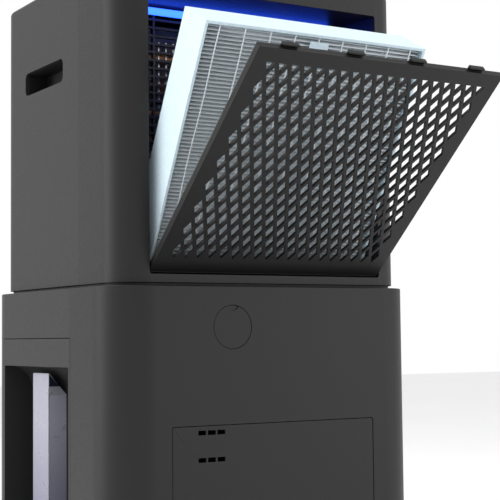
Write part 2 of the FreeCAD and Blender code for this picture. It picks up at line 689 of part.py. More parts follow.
def heat_exchanger(name, setback):
    """A stack of thin fins on rows of level tubes, joined by end bends."""
    half = size("coil_half_width")
    depth = size("coil_depth")
    low = size("coil_low_z")
    tall = size("coil_height")
    radius = size("coil_tube")
    rows = 8
    heights = [low + tall * (row + 0.5) / rows for row in range(rows)]
    along = size("bay_inner_y - bay_lip - " + setback)
    middle = along - depth / 2
    corners = [(along - depth, low), (along, low), (along, low + tall), (along - depth, low + tall)]
    corners.append(corners[0])
    rim_wire = Part.makePolygon([FreeCAD.Vector(0, y, z) for y, z in corners])
    normal = FreeCAD.Vector(1, 0, 0)
    holes = [Part.Wire(Part.makeCircle(radius + 0.1, FreeCAD.Vector(0, middle, z), normal)) for z in heights]
    fin = face_with_holes(rim_wire, holes).extrude(FreeCAD.Vector(size("fin_thickness"), 0, 0))
    fins = []
    for number in range(int(2 * half // size("fin_pitch"))):
        copy = fin.copy()
        copy.translate(FreeCAD.Vector(-half + 3 + number * size("fin_pitch"), 0, 0))
        fins.append(copy)
    coded(name + "_fins", Part.makeCompound(fins))
    end = half + 3
    bars = [Part.makeCylinder(radius, 2 * end, FreeCAD.Vector(-end, middle, z), normal) for z in heights]
    bends = []
    for row in range(rows - 1):
        east = row % 2 == 0
        mid = FreeCAD.Vector(end if east else -end, middle, (heights[row] + heights[row + 1]) / 2)
        ring = Part.makeTorus((heights[row + 1] - heights[row]) / 2, radius, mid, FreeCAD.Vector(0, 1, 0))
        reach = tall / rows * 2
        corner = mid + FreeCAD.Vector(0 if east else -reach, -reach / 2, -reach)
        bends.append(ring.common(Part.makeBox(reach, reach, 2 * reach, corner)))
    coded(name + "_tubes", bars[0].multiFuse(bars[1:] + bends).removeSplitter())


def drip_tray():
    half = "coil_half_width + tray_margin"
    front = "coil_front_y - tray_margin - 3"
    rear = "bay_inner_y - bay_lip - 1"
    low = "upper_base_z + deck_thickness + 0.2"
    outer = box("tray_outer", ("0 - (%s)" % half, half), (front, rear), (low, "coil_low_z - 1"))
    inside = ("tray_wall - (%s)" % half, "%s - tray_wall" % half)
    inner = (front + " + tray_wall", rear + " - tray_wall")
    hollow = box("tray_hollow", inside, inner, (low + " + tray_wall", "coil_low_z"))
    cut("drip_tray", outer, [hollow])


def fan():
    """Volute, motor, shaft and a squirrel-cage wheel that turns about a front to rear axis."""
    scroll = "fan_radius + scroll_clear"
    front = "fan_front_y"
    rear = "fan_front_y + scroll_depth"
    drum = rod("scroll_drum", "Y", scroll, "scroll_depth", "0", front, "fan_z")
    duct_high = "top_z - 22"
    duct = box("scroll_duct", ("0", scroll), (front, rear), ("fan_z", duct_high))
    inner = scroll + " - scroll_wall"
    room_sides = (front + " + scroll_wall", rear + " - scroll_wall")
    room = rod("scroll_space", "Y", inner, "scroll_depth - 2 * scroll_wall", "0", room_sides[0], "fan_z")
    flue = box("scroll_flue", ("scroll_wall", inner), room_sides, ("fan_z", duct_high + " + 5"))
    through = ("4 * scroll_wall", "0")
    mouth = rod("scroll_mouth", "Y", "fan_radius - 14", *through, rear + " - 2 * scroll_wall", "fan_z")
    back = rod("scroll_back", "Y", "motor_radius + 1", *through, front + " - 2 * scroll_wall", "fan_z")
    cut("fan_scroll", fuse("scroll_body", [drum, duct]), [room, flue, mouth, back])
    can = rod("motor_can", "Y", "motor_radius", "motor_length", "0", front + " - motor_lead", "fan_z")
    through = ("2 * motor_length", "0", front + " - motor_lead - 4", "fan_z")
    hole = rod("motor_hole", "Y", "shaft_radius + running_gap", *through)
    reach = "motor_radius + 13"
    ear_z = ("fan_z - 8", "fan_z + 8")
    ears = box("motor_ears", ("0 - (%s)" % reach, reach), (front + " - scroll_wall", front), ear_z)
    cut("fan_motor", fuse("motor_body", [can, ears]), [hole])
    rod("fan_shaft", "Y", "shaft_radius", "shaft_length", "0", front + " - shaft_lead", "fan_z")
    wheel()


def wheel():
    """Squirrel-cage wheel: a disc with its hub, a ring of leaning blades and an end ring."""
    wheel_y = "fan_front_y + wheel_setback"
    disc = rod("wheel_disc", "Y", "fan_radius", "2.5", "0", wheel_y, "fan_z")
    hub = rod("wheel_hub", "Y", "hub_radius", "hub_length", "0", wheel_y, "fan_z")
    far = wheel_y + " + fan_width - 4"
    ring = rod("wheel_ring", "Y", "fan_radius", "4", "0", far, "fan_z")
    inside = "(fan_radius - blade_length - 1)"
    core = rod("wheel_ring_core", "Y", inside, "8", "0", far + " - 2", "fan_z")
    rim = cut("wheel_rim", ring, [core])
    blades = []
    count = 30
    for number in range(count):
        blade = box("wheel_blade_%d" % number, ("0", "blade_length"), ("0", "fan_width - 3"), ("0", "1.2"))
        angle = 360 / count * number
        turned = FreeCAD.Rotation(FreeCAD.Vector(0, 1, 0), angle)
        blade.Placement.Rotation = turned.multiply(FreeCAD.Rotation(FreeCAD.Vector(0, 1, 0), -32))
        spot = inside + " * %s(%d deg)"
        bind(blade, Placement__Base__x=spot % ("cos", angle), Placement__Base__y=wheel_y + " + 1")
        bind(blade, Placement__Base__z="fan_z - " + spot % ("sin", angle))
        blades.append(blade)
    bore = rod("wheel_bore", "Y", "shaft_radius", "hub_length + 4", "0", wheel_y + " - 2", "fan_z")
    cut("fan_impeller", fuse("wheel_body", [disc, hub, rim] + blades), [bore])


def compressor_set():
    """Hermetic compressor on rubber mounts, with its two copper pipes."""
    across = "0 - half_width + shell_wall + compressor_radius + compressor_gap"
    side_step = 15
    along = "coil_front_y - pipe_clear - %d" % side_step
    low = "pan_z + mount_height"
    body = new_body("compressor")
    plan = sketch_on(body, "can_plan", "XY_Plane", low)
    circle(plan, across, along, "compressor_radius")
    pad(body, plan, "compressor_height")
    round_edges(body, "can_round", "16", lambda edge: edge.BoundBox.ZLength < 0.01)
    mounts = []
    for number in range(3):
        angle = 120 * number + 30
        spot = "(compressor_radius - 16) * %s(%d deg)"
        sides = [across + " + " + spot % ("cos", angle), along + " + " + spot % ("sin", angle)]
        mounts.append(rod("mount_%d" % number, "Z", "mount_radius", "mount_height", *sides, "pan_z"))
    group("compressor_mounts", mounts)
    top = size(low) + size("compressor_height")
    start_x = size(across)
    start_y = size(along)
    pipes = []
    for shift, end_z in ((-12, 60), (12, 110)):
        stops = [(start_x + shift, start_y, top), (start_x + shift, start_y, size("deck_z") - 60)]
        rising = (start_x + 17 + shift, start_y + side_step)
        stops += [(*rising, size("deck_z") - 20), (*rising, size("coil_low_z") + end_z)]
        corners = [FreeCAD.Vector(*stop) for stop in stops]
        pipes.append(bent_pipe(corners, size("pipe_bend"), size("pipe_radius")))
    coded("refrigerant_pipes", Part.makeCompound(pipes))


def bent_pipe(points, bend, radius):
    """A round tube along straight runs joined by tangent arcs."""
    pieces = []
    at = points[0]
    for before, corner, after in zip(points, points[1:], points[2:]):
        inward = (before - corner).normalize()
        outward = (after - corner).normalize()
        half = inward.getAngle(outward) / 2
        trim = bend / math.tan(half)
        start = corner + inward * trim
        stop = corner + outward * trim
        centre = corner + (inward + outward).normalize() * (bend / math.sin(half))
        middle = centre + (corner - centre).normalize() * bend
        pieces.append(Part.makeLine(at, start))
        pieces.append(Part.Arc(start, middle, stop).toShape())
        at = stop
    pieces.append(Part.makeLine(at, points[-1]))
    spine = Part.Wire(pieces)
    section = Part.Wire(Part.makeCircle(radius, points[0], points[1] - points[0]))
    return spine.makePipeShell([section], True, True)


def lamp():
    """Lamp tube across the top of the filter bay, in a holder at each end."""
    along = "bay_inner_y + lamp_setback"
    reach = "opening_half_width - holder_length"
    rod("uv_lamp", "X", "lamp_radius", "2 * (%s)" % reach, "0 - (%s)" % reach, along, "head_z - lamp_drop")
    sides = (along + " - holder_half", along + " + holder_half")
    span = ("head_z - 2 * lamp_drop", "head_z")
    holders = []
    for name, low in (("left", "0 - opening_half_width"), ("right", reach)):
        holders.append(box("holder_" + name, (low, low + " + holder_length"), sides, span))
    group("lamp_holders", holders)


def door():
    """Perforated door in its own frame, upright, with its hinge axis along X at the origin."""
    top = size("door_top")
    half = size("door_half")
    face = size("door_face")
    outer = size("door_round")
    corners = [(-half, 0), (half, 0), (half, top), (-half, top), (-half, 0)]
    rim_wire = Part.makePolygon([FreeCAD.Vector(x, outer, z) for x, z in corners])
    panel = face_with_holes(rim_wire, diamonds(half, top, outer)).extrude(FreeCAD.Vector(0, -face, 0))
    lean(coded("door_panel", panel), "door_y", "door_z", "door_tilt")
    inner = "door_round - door_face"
    rail = rod("frame_rail", "X", "door_round", "2 * door_half", "0 - door_half", "0", "0")
    thick = ("door_round - door_depth", inner)
    left = box("frame_left", ("0 - door_half", "0 - door_half + door_flange"), thick, ("0", "door_top"))
    right = box("frame_right", ("door_half - door_flange", "door_half"), thick, ("0", "door_top"))
    head = box("frame_head", ("0 - door_half", "door_half"), thick, ("door_top - door_flange", "door_top"))
    wide = ("0 - door_half - 1", "door_half + 1")
    clear = box("frame_clear", wide, (inner, "door_round + 1"), ("0", "door_round + 1"))
    frame = cut("door_frame", fuse("frame_body", [rail, left, right, head]), [clear])
    lean(frame, "door_y", "door_z", "door_tilt")
    door_hooks()
    reach = "door_gap + bay_wall - 0.4"
    pins = [rod("hinge_left", "X", "door_pin_radius", reach, "0 - door_half - (%s)" % reach, "0", "0")]
    pins.append(rod("hinge_right", "X", "door_pin_radius", reach, "door_half", "0", "0"))
    lean(group("door_pins", pins), "door_y", "door_z", "door_tilt")


def door_hooks():
    """Four hooks along the top edge that catch under the opening's head."""
    back = "door_round - door_depth"
    high = "door_top + hook_height"
    hooks = []
    for number, step in enumerate((-1.5, -0.5, 0.5, 1.5)):
        middle = "%s * hook_spacing" % step
        sides = ("%s - hook_width / 2" % middle, "%s + hook_width / 2" % middle)
        stem = box("hook_stem_%d" % number, sides, (back, back + " + hook_stem"), ("door_top", high))
        lip_sides = (back + " + hook_stem", back + " + 2 * hook_stem")
        lip = box("hook_lip_%d" % number, sides, lip_sides, (high + " - hook_lip", high))
        hooks.append(fuse("hook_%d" % number, [stem, lip]))
    lean(group("door_hooks", hooks), "door_y", "door_z", "door_tilt")


def diamonds(half, top, level):
    """Tall diamond holes in staggered rows; the first row is cut off flat by the border."""
    pitch = size("hole_pitch")
    step = size("hole_step")
    border = size("door_border")
    slant = math.hypot(pitch / 2, step)
    shrink = 1 - size("strand") / 2 * slant / (pitch / 2 * step)
    wide = pitch / 2 * shrink
    tall = step * shrink
    high = top - border
    rows = int((high - border + tall) // step)
    holes = []
    for row in range(rows):
        middle = high - row * step
        offset = 0 if row % 2 == 0 else pitch / 2
        across = [number * pitch + offset for number in range(-20, 21)]
        for x in [x for x in across if abs(x) + wide < half - border + 4]:
            corners = [(x - wide, middle), (x, middle - tall), (x + wide, middle)]
            if row:
                corners.append((x, middle + tall))
            corners.append(corners[0])
            holes.append(Part.makePolygon([FreeCAD.Vector(px, level, pz) for px, pz in corners]))
    return holes


def filter_cartridge():
    """Board frame, pleated paper, glue beads and pull tab, upright on the filter's pin axis."""
    thick = ("filter_back", "filter_front")
    outer = box("board_outer", ("0 - filter_half", "filter_half"), thick, ("filter_low", "filter_high"))
    inside = ("0 - filter_half + filter_board", "filter_half - filter_board")
    clear = ("filter_low + filter_board", "filter_high - filter_board")
    hollow = box("board_hollow", inside, ("filter_back - 1", "filter_front + 1"), clear)
    seat = ("filter_y", "filter_z", "filter_tilt")
    lean(cut("filter_frame", outer, [hollow]), *seat)
    lean(coded("filter_pleats", pleats()), *seat)
    beads = []
    count = 4
    front = "filter_front - pleat_recess"
    for number in range(-count, count + 1):
        middle = "%d * bead_pitch" % number
        sides = ("%s - bead_width / 2" % middle, "%s + bead_width / 2" % middle)
        beads.append(box("bead_%d" % (number + count), sides, (front, front + " + bead_height"), clear))
    lean(group("filter_beads", beads), *seat)
    tab_top = "filter_high - filter_board - 4"
    low = "%s - tab_height" % tab_top
    face = front + " + bead_height"
    sides = ("0 - tab_width / 2", "tab_width / 2")
    leaf = box("tab_leaf", sides, (face, face + " + tab_thickness"), (low, tab_top))
    lean(group("filter_tab", [leaf]), *seat)
    reach = "opening_half_width - filter_half + bay_wall - 0.4"
    pins = [rod("filter_pin_left", "X", "door_pin_radius", reach, "0 - filter_half - (%s)" % reach, "0", "0")]
    pins.append(rod("filter_pin_right", "X", "door_pin_radius", reach, "filter_half", "0", "0"))
    lean(group("filter_pins", pins), *seat)


def pleats():
    """One folded sheet: a zigzag in the YZ plane with blunt folds, drawn out along X."""
    half_paper = size("pleat_paper") / 2
    low = size("filter_low + filter_board") + half_paper + 0.3
    high = size("filter_high - filter_board") - half_paper - 0.3
    front = size("filter_front - pleat_recess")
    back = size("filter_back + pleat_recess")
    folds = int((high - low) // size("pleat_pitch")) * 2
    rise = (high - low) / folds
    inner = half_paper * (front - back) / rise
    room_side = [(back, low - half_paper)]
    door_side = [(back, low + half_paper)]
    for number in range(1, folds):
        height = low + number * rise
        blunt = (height - half_paper, height + half_paper)
        if number % 2:
            room_side += [(front, level) for level in blunt]
            door_side.append((front - inner, height))
        else:
            room_side.append((back + inner, height))
            door_side += [(back, level) for level in blunt]
    room_side.append((back, high + half_paper))
    door_side.append((back, high - half_paper))
    half = size("filter_half - filter_board") - 0.3
    ring = room_side + door_side[::-1] + room_side[:1]
    points = [FreeCAD.Vector(-half, along, height) for along, height in ring]
    return Part.Face(Part.makePolygon(points)).extrude(FreeCAD.Vector(2 * half, 0, 0))


def tank():
    """Drawer front with its grip recess and the slot that the sight column stands in."""
    body = new_body("tank_fascia")
    block = sketch_on(body, "drawer_block_face", "YZ_Plane", "block_x")
    outline(block, "drawer_front_y", "drawer_rear_y", "drawer_base", "drawer_top_z")
    pad(body, block, "drawer_block")
    grip = sketch_on(body, "grip_recess", "YZ_Plane", "half_width")
    sides = ["drawer_front_y + grip_border", "drawer_rear_y - grip_border"]
    outline(grip, *sides, "drawer_base + grip_floor", "split_height - grip_drop")
    pocket(body, grip, "2 * grip_depth")
    ceiling = edge_at("half_width - grip_depth", "split_height - grip_drop")
    round_edges(body, "grip_ceiling", "grip_round", ceiling)
    slot = sketch_on(body, "column_slot", "YZ_Plane", "block_x")
    along = ("column_rear_y - column_width - column_gap", "column_rear_y + column_gap")
    slope_rise = "(drawer_block - grip_depth) * column_bevel_drop / column_bevel_in"
    high = "column_top_z - column_bevel_drop + %s + column_gap" % slope_rise
    outline(slot, *along, "drawer_base + grip_floor + column_floor", high)
    pocket(body, slot, "4 * (drawer_block - grip_depth)")
    sight_column()
    bucket()


def edge_at(across, height):
    """A test for edges that run front to rear at one place across and one height."""
    spot_x = size(across)
    spot_z = size(height)

    def wanted(edge):
        bounds = edge.BoundBox
        ends = (bounds.XMin - spot_x, bounds.XMax - spot_x, bounds.ZMin - spot_z, bounds.ZMax - spot_z)
        return bounds.YLength > 5 and max(abs(end) for end in ends) < 0.01

    return wanted


def sight_column():
    """Clear column in the grip recess, its top sloping down into the drawer front."""
    guide = new_body("sight_column")
    profile = sketch_on(guide, "column_profile", "XZ_Plane", "0 - column_rear_y")
    reach = ("block_x", "half_width - column_setback")
    outline(profile, *reach, "drawer_base + grip_floor + column_floor + column_gap", "column_top_z")
    pad(guide, profile, "column_width")
    wanted = edge_at("block_x", "column_top_z")
    tip = guide.Tip
    names = ["Edge%d" % (number + 1) for number, edge in enumerate(tip.Shape.Edges) if wanted(edge)]
    bevel = guide.newObject("PartDesign::Chamfer", "column_bevel")
    bevel.Base = (tip, names)
    bevel.ChamferType = "Two distances"
    bevel.FlipDirection = False
    bind(bevel, Size="column_bevel_in", Size2="column_bevel_drop")
    doc.recompute()


def bucket():
    """Clear bucket behind the drawer front, its lid with an inlet, and the float."""
    sides = ("tank_front_y", "tank_rear_y")
    span = ("tank_low_x", "block_x")
    outer = box("bucket_outer", span, sides, ("tank_low_z", "tank_top_z"))
    inner_span = ("tank_low_x + tank_wall", "block_x - tank_wall")
    inner_sides = ("tank_front_y + tank_wall", "tank_rear_y - tank_wall")
    hollow = box("bucket_hollow", inner_span, inner_sides, ("tank_low_z + tank_wall", "tank_top_z + 5"))
    cut("tank_bucket", outer, [hollow])
    lid = box("lid_plate", span, sides, ("tank_top_z", "tank_top_z + lid_thickness"))
    spot = ("tank_low_x + float_reach", "inlet_y")
    way_z = "tank_top_z - lid_thickness"
    stem_way = rod("lid_way", "Z", "float_stem + running_gap", "4 * lid_thickness", *spot, way_z)
    inlet_spot = ("tank_low_x + inlet_reach", "inlet_y")
    inlet = rod("lid_inlet", "Z", "inlet_radius", "4 * lid_thickness", *inlet_spot, way_z)
    cut("tank_lid", lid, [stem_way, inlet])
    bulb = rod("float_bulb", "Z", "float_radius", "float_height", *spot, "tank_top_z - float_drop")
    stem = rod("stem_rod", "Z", "float_stem", "float_drop + 2", *spot, "tank_top_z - float_drop + 2")
    fuse("tank_float", [bulb, stem])


def tank_bay():
    span = ("tank_low_x", "block_x - 4")
    for name, along in (("front", "drawer_front_y + 12"), ("rear", "drawer_rear_y - 24")):
        box("rail_" + name, span, (along, along + " + 12"), ("pan_z", "tank_low_z - 0.4"))
    group("tank_rails", [doc.getObject("rail_front"), doc.getObject("rail_rear")])
    wall = ("tank_low_x - 6", "tank_low_x - 3")
    sides = ("drawer_front_y - 4", "drawer_rear_y + 3")
    box("tank_bay_divider", wall, sides, ("pan_z", "drawer_top_z + 1.5"))
    roof = ("tank_low_x - 6", "half_width - shell_wall - 1")
    shelf = box("bay_shelf", roof, sides, ("drawer_top_z + 1.5", "drawer_top_z + 4.5"))
    spot = ("tank_low_x + inlet_reach", "inlet_y", "drawer_top_z - 5")
    drip = rod("bay_drip_way", "Z", "drip_radius", "20", *spot)
    cut("tank_bay_roof", shelf, [drip])


def hand_cups():
    """Five-sided cup behind each hand slot."""
    high = "slot_height / 2"
    long = "slot_length / 2"
    for name, sign in (("tank", 1), ("far", -1)):
        near = "upper_half_width - shell_wall"
        ends = ["%s - slot_depth - cup_wall" % near, near]
        room = ["%s - slot_depth" % near, near + " + 1"]
        if sign < 0:
            ends = ["0 - (%s)" % text for text in reversed(ends)]
            room = ["0 - (%s)" % text for text in reversed(room)]
        sides = ("slot_centre_y - %s - cup_wall" % long, "slot_centre_y + %s + cup_wall" % long)
        tall = ("slot_z - %s - cup_wall" % high, "slot_z + %s + cup_wall" % high)
        outer = box("cup_%s_outer" % name, ends, sides, tall)
        inner = ("slot_centre_y - " + long, "slot_centre_y + " + long)
        hollow = box("cup_%s_hollow" % name, room, inner, ("slot_z - " + high, "slot_z + " + high))
        cut("hand_cup_" + name, outer, [hollow])


def top_outlet():
    """Slatted grille set in the top opening under a flap hinged along its rear edge."""
    half = size("outlet_half_width")
    long = size("outlet_rear_y - outlet_front_y")
    flat = grid(half, 0, long, 5, 9, 2.4, 4)
    flat.rotate(FreeCAD.Vector(0, 0, 0), FreeCAD.Vector(1, 0, 0), -90)
    slab = flat.extrude(FreeCAD.Vector(0, 0, 5))
    place(coded("outlet_grille", slab), "0", "outlet_front_y", "top_z - 13")
    sides = ("0 - outlet_half_width + 0.4", "outlet_half_width - 0.4")
    pin = ("outlet_rear_y - 6", "top_z - shell_wall - 2.2")
    along = ("outlet_front_y + 0.4", "outlet_rear_y - 3.5")
    leaf = box("flap_leaf", sides, along, ("top_z - 0.5 - flap_thickness", "top_z - 0.5"))
    roll = rod("flap_roll", "X", "2", "2 * outlet_half_width - 0.8", sides[0], *pin)
    nub = rod("flap_pin", "X", "1.2", "2 * outlet_half_width + 7", "0 - outlet_half_width - 3.5", *pin)
    fuse("outlet_louvre", [leaf, roll, nub])
    ears = []
    low_z = "top_z - shell_wall - 5"
    for name, low in (("left", "0 - outlet_half_width - 4"), ("right", "outlet_half_width + 1")):
        depth = ("outlet_rear_y - 10", "outlet_rear_y - 1")
        ear = box("ear_%s_block" % name, (low, low + " + 3"), depth, (low_z, "top_z - shell_wall"))
        eye = rod("ear_%s_eye" % name, "X", "1.2 + running_gap", "5", low + " - 1", *pin)
        ears.append(cut("ear_" + name, ear, [eye]))
    group("flap_bearings", ears)


BUTTONS = (
    ("power", "0 - button_far"),
    ("mode", "0 - button_near"),
    ("speed", "button_near"),
    ("timer", "button_far"),
)


def console():
    """Top control panel with its display lens, board and four push buttons."""
    sink = 0.4
    face = "top_z - %s" % sink
    base = face + " - console_thickness"
    half = "console_half_width"
    sides = ("console_front_y", "console_rear_y")
    panel = box("console_plate", ("0 - " + half, half), sides, (base, face))
    wide = "lens_half_width + lens_gap"
    deep = ("button_y - lens_half_depth - lens_gap", "button_y + lens_half_depth + lens_gap")
    ways = [box("lens_way", ("0 - (%s)" % wide, wide), deep, (base + " - 1", "top_z"))]
    for name, across in BUTTONS:
        spot = (across, "button_y", base + " - 2")
        ways.append(rod("way_" + name, "Z", "button_radius + button_gap", "3 * console_thickness", *spot))
    cut("control_panel", panel, ways)
    lens = ("button_y - lens_half_depth", "button_y + lens_half_depth")
    box("display_lens", ("0 - lens_half_width", "lens_half_width"), lens, (base, face + " - 0.2"))
    board = ("console_front_y + 2", "console_rear_y - 2")
    low = base + " - board_drop"
    box("control_board", ("3 - " + half, half + " - 3"), board, (low, low + " + 2"))
    for name, across in BUTTONS:
        foot = face + " + 0.6 - button_height"
        rod("button_" + name, "Z", "button_radius", "button_height", across, "button_y", foot)


def build_all():
    lower_front_shell()
    lower_rear_shell()
    service_panel()
    upper_front_shell()
    upper_rear_shell()
    plate("base_pan", "(shell_wall + 0.3)", "foot_height", "pan_z", False)
    plate("neck_plate", "neck_inset", "split_height", "upper_base_z", True)
    floor_high = "upper_base_z + deck_thickness"
    plate("upper_floor", "(upper_inset + shell_wall + 0.3)", "upper_base_z", floor_high, True)
    feet()
    drain_port()
    small_rear_parts()
    filter_bay()
    inner_grille()
    heat_exchanger("evaporator", "evaporator_setback")
    heat_exchanger("condenser", "condenser_setback")
    drip_tray()
    fan()
    compressor_set()
    lamp()
    door()
    filter_cartridge()
    tank()
    tank_bay()
    hand_cups()
    top_outlet()
    console()


NODES = [
    "lower_front_shell", "lower_rear_shell", "service_panel", "service_screws", "cord_gland",
    "upper_front_shell", "upper_rear_shell", "base_pan", "neck_plate", "upper_floor", "feet",
    "drain_cup", "drain_spout", "drain_cover", "control_box", "filter_bay", "inner_grille",
    "evaporator_fins", "evaporator_tubes", "condenser_fins", "condenser_tubes", "drip_tray",
    "fan_scroll", "fan_motor", "fan_shaft", "fan_impeller", "compressor", "compressor_mounts",
    "refrigerant_pipes", "uv_lamp", "lamp_holders", "door_panel", "door_frame", "door_hooks",
    "door_pins", "filter_frame", "filter_pleats", "filter_beads", "filter_tab", "filter_pins",
    "tank_fascia", "sight_column", "tank_bucket", "tank_lid", "tank_float", "tank_rails",
    "tank_bay_divider", "tank_bay_roof", "hand_cup_tank", "hand_cup_far", "outlet_grille",
    "outlet_louvre", "flap_bearings", "control_panel", "display_lens", "control_board",
] + ["button_" + name for name, across in BUTTONS]


def check_and_export():
    doc.recompute()
    faults = []
    for item in doc.Objects:
        if "Invalid" in item.State or "Error" in item.State:
            faults.append("%s: %s" % (item.Label, item.State))
    for label in NODES:
        shape = doc.getObjectsByLabel(label)[0].Shape
        if shape.isNull() or not shape.isValid() or not shape.Solids:
            faults.append("%s has no valid solid" % label)
    if faults:
        raise RuntimeError("\n".join(faults))
    os.makedirs("parts", exist_ok=True)
    for label in NODES:
        doc.getObjectsByLabel(label)[0].Shape.exportStep("parts/%s.step" % label)
    print("wrote %d nodes" % len(NODES))


build_all()
check_and_export()
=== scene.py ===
"""Air treatment tower with a tank base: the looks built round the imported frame."""

import json
import math

import bmesh
import bpy
from mathutils import Matrix, Vector


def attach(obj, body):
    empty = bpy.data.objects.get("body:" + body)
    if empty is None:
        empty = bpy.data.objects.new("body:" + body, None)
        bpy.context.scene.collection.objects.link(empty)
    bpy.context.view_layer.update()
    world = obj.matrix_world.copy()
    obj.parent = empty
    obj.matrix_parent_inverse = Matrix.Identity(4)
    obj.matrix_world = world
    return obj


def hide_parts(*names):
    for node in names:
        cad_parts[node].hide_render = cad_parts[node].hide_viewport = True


bl_info = {
    "name": "Air Tower",
    "version": (1, 0, 0),
    "blender": (4, 5, 0),
    "location": "3D View > Sidebar > Air Tower",
    "description": "Builds the visible pieces of a two-tier air treatment tower",
    "category": "Object",
}

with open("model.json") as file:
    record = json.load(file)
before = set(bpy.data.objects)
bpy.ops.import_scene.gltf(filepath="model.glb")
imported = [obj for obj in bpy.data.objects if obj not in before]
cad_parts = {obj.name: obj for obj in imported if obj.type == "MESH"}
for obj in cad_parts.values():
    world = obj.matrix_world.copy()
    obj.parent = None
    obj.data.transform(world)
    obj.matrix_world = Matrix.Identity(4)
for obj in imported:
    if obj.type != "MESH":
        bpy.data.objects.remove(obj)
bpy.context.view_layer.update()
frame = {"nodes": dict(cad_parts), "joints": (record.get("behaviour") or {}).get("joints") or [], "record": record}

JOINTS = {joint["name"]: joint for joint in frame["joints"]}
SLOT_OF = {part["node"]: part["material_slot"] for part in frame["record"]["subparts"]}
BODY_OF = {node: body for body, nodes in frame["record"]["behaviour"]["bodies"].items() for node in nodes}

# Stage: camera turn is azimuth, pitch and roll in degrees; each light has its spot, size and power
CAMERA_SPOT = (0.6752, 1.2007, 0.3004)
CAMERA_TURN = (148.37, -3.77, -0.61)
CAMERA_LENS = 95.4
SENSOR_WIDTH = 36
LIGHTS = (
    ("left_panel", (2.1, -0.9, 0.9), (1.0, 2.2), 22),
    ("right_panel", (-1.5, 1.7, 0.9), (0.9, 1.8), 9),
    ("top_panel", (0.3, -0.6, 2.6), (1.8, 1.8), 20),
)
LIGHT_TARGET = (0, 0, 0.4)
AMBIENT = 0.9
BACKDROP = 1.0

# Edges
JOIN_DISTANCE = 0.00001
FLAT_ANGLE = 0.6
SHARP_ANGLE = 32
ROUNDING_SEGMENTS = 2

# Filter cartridge: the folds reach almost to sharp, and the glue lumps at each fold
FOLD_STEPS = 12
FOLD_SHARPNESS = 0.985
PAPER_THICKNESS = 0.0003
BEAD_SIDES = 8
BEAD_ROWS_PER_FOLD = 6
BEAD_RADIUS = 0.00042
BEAD_LUMP = 0.0002
BEAD_LIFT = 0.0003
BEAD_WIDE, BEAD_TALL = 1.3, 0.75
BEAD_DRIFT, DRIFT_RATE, DRIFT_STEP = 0.00035, 61, 1.7

# Sight column: how far down its rear face the ledge and walls stand, and how proud they are
SLOPE_DROP = 0.024
LEDGE_TOP, LEDGE_FOOT = 0.013, 0.022
FAR_WALL_TOP = 0.0245
WALL_THICKNESS = 0.0011
COLUMN_FOOT_CLEAR = 0.002
CORNER_IN, CORNER_DOWN = 0.0008, 0.0012
RELIEF_SUNK, RELIEF_PROUD = 0.0004, 0.00015


# Sizes and colours

class TowerSizes(bpy.types.PropertyGroup):
    """Sizes of the fine detail that the frame leaves to the looks"""

    edge_round: bpy.props.FloatProperty(
        name="Edge rounding", description="Rounding of moulded edges", default=0.0006, unit="LENGTH")
    small_round: bpy.props.FloatProperty(
        name="Small edge rounding", description="Rounding of thin parts", default=0.0003, unit="LENGTH")
    pleat_pitch: bpy.props.FloatProperty(
        name="Pleat pitch", description="Distance between pleats", default=0.0036, unit="LENGTH")
    bead_pitch: bpy.props.FloatProperty(
        name="Glue bead pitch", description="Distance between glue beads", default=0.026, unit="LENGTH")
    floor_size: bpy.props.FloatProperty(
        name="Floor size", description="Side of the studio floor", default=14.0, unit="LENGTH")


class TowerColours(bpy.types.PropertyGroup):
    """Colours of the tower's finishes"""

    shell: bpy.props.FloatVectorProperty(
        name="Shell", description="Front shells", size=3, subtype="COLOR", default=(0.0165, 0.0163, 0.0167))
    rear_shell: bpy.props.FloatVectorProperty(
        name="Rear shell", description="Rear shells", size=3, subtype="COLOR",
        default=(0.0105, 0.0101, 0.0108))
    door: bpy.props.FloatVectorProperty(
        name="Door", description="Filter door", size=3, subtype="COLOR", default=(0.004, 0.004, 0.0044))
    bay: bpy.props.FloatVectorProperty(
        name="Filter bay", description="Filter bay lining", size=3, subtype="COLOR",
        default=(0.01, 0.011, 0.03))
    paper: bpy.props.FloatVectorProperty(
        name="Filter paper", description="Pleated paper", size=3, subtype="COLOR", default=(0.86, 0.92, 0.96))
    lamp: bpy.props.FloatVectorProperty(
        name="Lamp", description="Lamp light", size=3, subtype="COLOR", default=(0.02, 0.09, 1.0))


def sizes():
    return bpy.context.scene.tower_sizes


def colours():
    return bpy.context.scene.tower_colours


# Finishes

